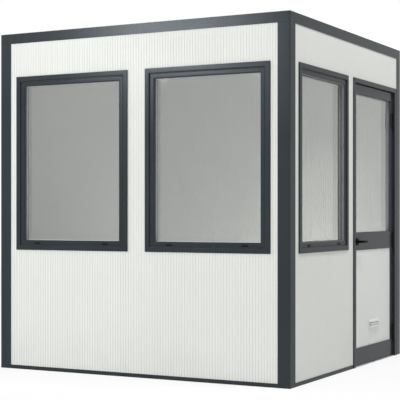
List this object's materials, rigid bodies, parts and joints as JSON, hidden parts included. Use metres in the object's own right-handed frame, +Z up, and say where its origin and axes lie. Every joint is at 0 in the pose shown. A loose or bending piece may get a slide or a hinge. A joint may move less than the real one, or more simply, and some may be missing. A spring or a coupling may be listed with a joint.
{
  "type": "guard_booth",
  "caption": "Flat-roofed security guard booth of white ribbed panels in a dark grey frame, with large windows and a half-glazed hinged door with a lever handle.",
  "frame": {"origin": "On the ground under the middle of the footprint, measured over the corner posts.", "axes": "+Z is up, the front wall with two windows faces -Y, and the wall with the door faces +X."},
  "size_m": [2.2309, 2.165, 2.33],
  "materials": {
    "frame_paint": "satin anthracite powder coat on steel posts and rails",
    "joinery_paint": "satin anthracite powder coat on window and door profiles",
    "panel_white": "white coil coating on finely ribbed steel sheet",
    "door_panel_white": "white coil coating on a smooth door panel",
    "louvre_white": "moulded white plastic",
    "glazing": "clear sealed double glazing",
    "black_hardware": "black satin coated handle and hinges",
    "black_plastic": "moulded black drain caps",
    "mill_aluminium": "plain drawn aluminium threshold",
    "floor_vinyl": "grey studded vinyl over a floor board"
  },
  "bodies": {
    "booth": {"front_left_post": "frame_paint", "front_right_post": "frame_paint", "back_right_post": "frame_paint", "back_left_post": "frame_paint", "front_base_rail": "frame_paint", "right_base_rail": "frame_paint", "back_base_rail": "frame_paint", "left_base_rail": "frame_paint", "front_top_rail": "frame_paint", "right_top_rail": "frame_paint", "back_top_rail": "frame_paint", "left_top_rail": "frame_paint", "floor_panel": "floor_vinyl", "roof_panel": "panel_white", "front_left_panel": "panel_white", "front_right_panel": "panel_white", "right_window_panel": "panel_white", "right_header_panel": "panel_white", "back_left_panel": "panel_white", "back_right_panel": "panel_white", "left_front_panel": "panel_white", "left_back_panel": "panel_white", "front_left_window_frame": "joinery_paint", "front_left_window_sash": "joinery_paint", "front_left_window_glass": "glazing", "front_right_window_frame": "joinery_paint", "front_right_window_sash": "joinery_paint", "front_right_window_glass": "glazing", "side_window_frame": "joinery_paint", "side_window_sash": "joinery_paint", "side_window_glass": "glazing", "drain_caps": "black_plastic", "window_handles": "black_hardware", "door_lock_jamb": "joinery_paint", "door_hinge_jamb": "joinery_paint", "door_head": "joinery_paint", "door_threshold": "mill_aluminium", "hinge_jamb_halves": "black_hardware"},
    "door": {"door_leaf": "joinery_paint", "door_glass": "glazing", "door_panel": "door_panel_white", "vent_louvre": "louvre_white", "handle_roses": "black_hardware", "hinge_leaf_halves": "black_hardware"},
    "lever": {"outside_lever": "black_hardware", "inside_lever": "black_hardware"}
  },
  "joints": [
    {"name": "door_hinge", "type": "hinge", "parent": "booth", "child": "door", "pos_m": [1.0935, 0.928, 0.01], "axis": [0, 0, 1], "range_deg": [0, 110]},
    {"name": "lever_turn", "type": "hinge", "parent": "door", "child": "lever", "pos_m": [1.0625, 0.149, 0.881], "axis": [-1, 0, 0], "range_deg": [0, 40], "stiffness_Nm_per_rad": 1.2, "springref_deg": -28.65}
  ]
}
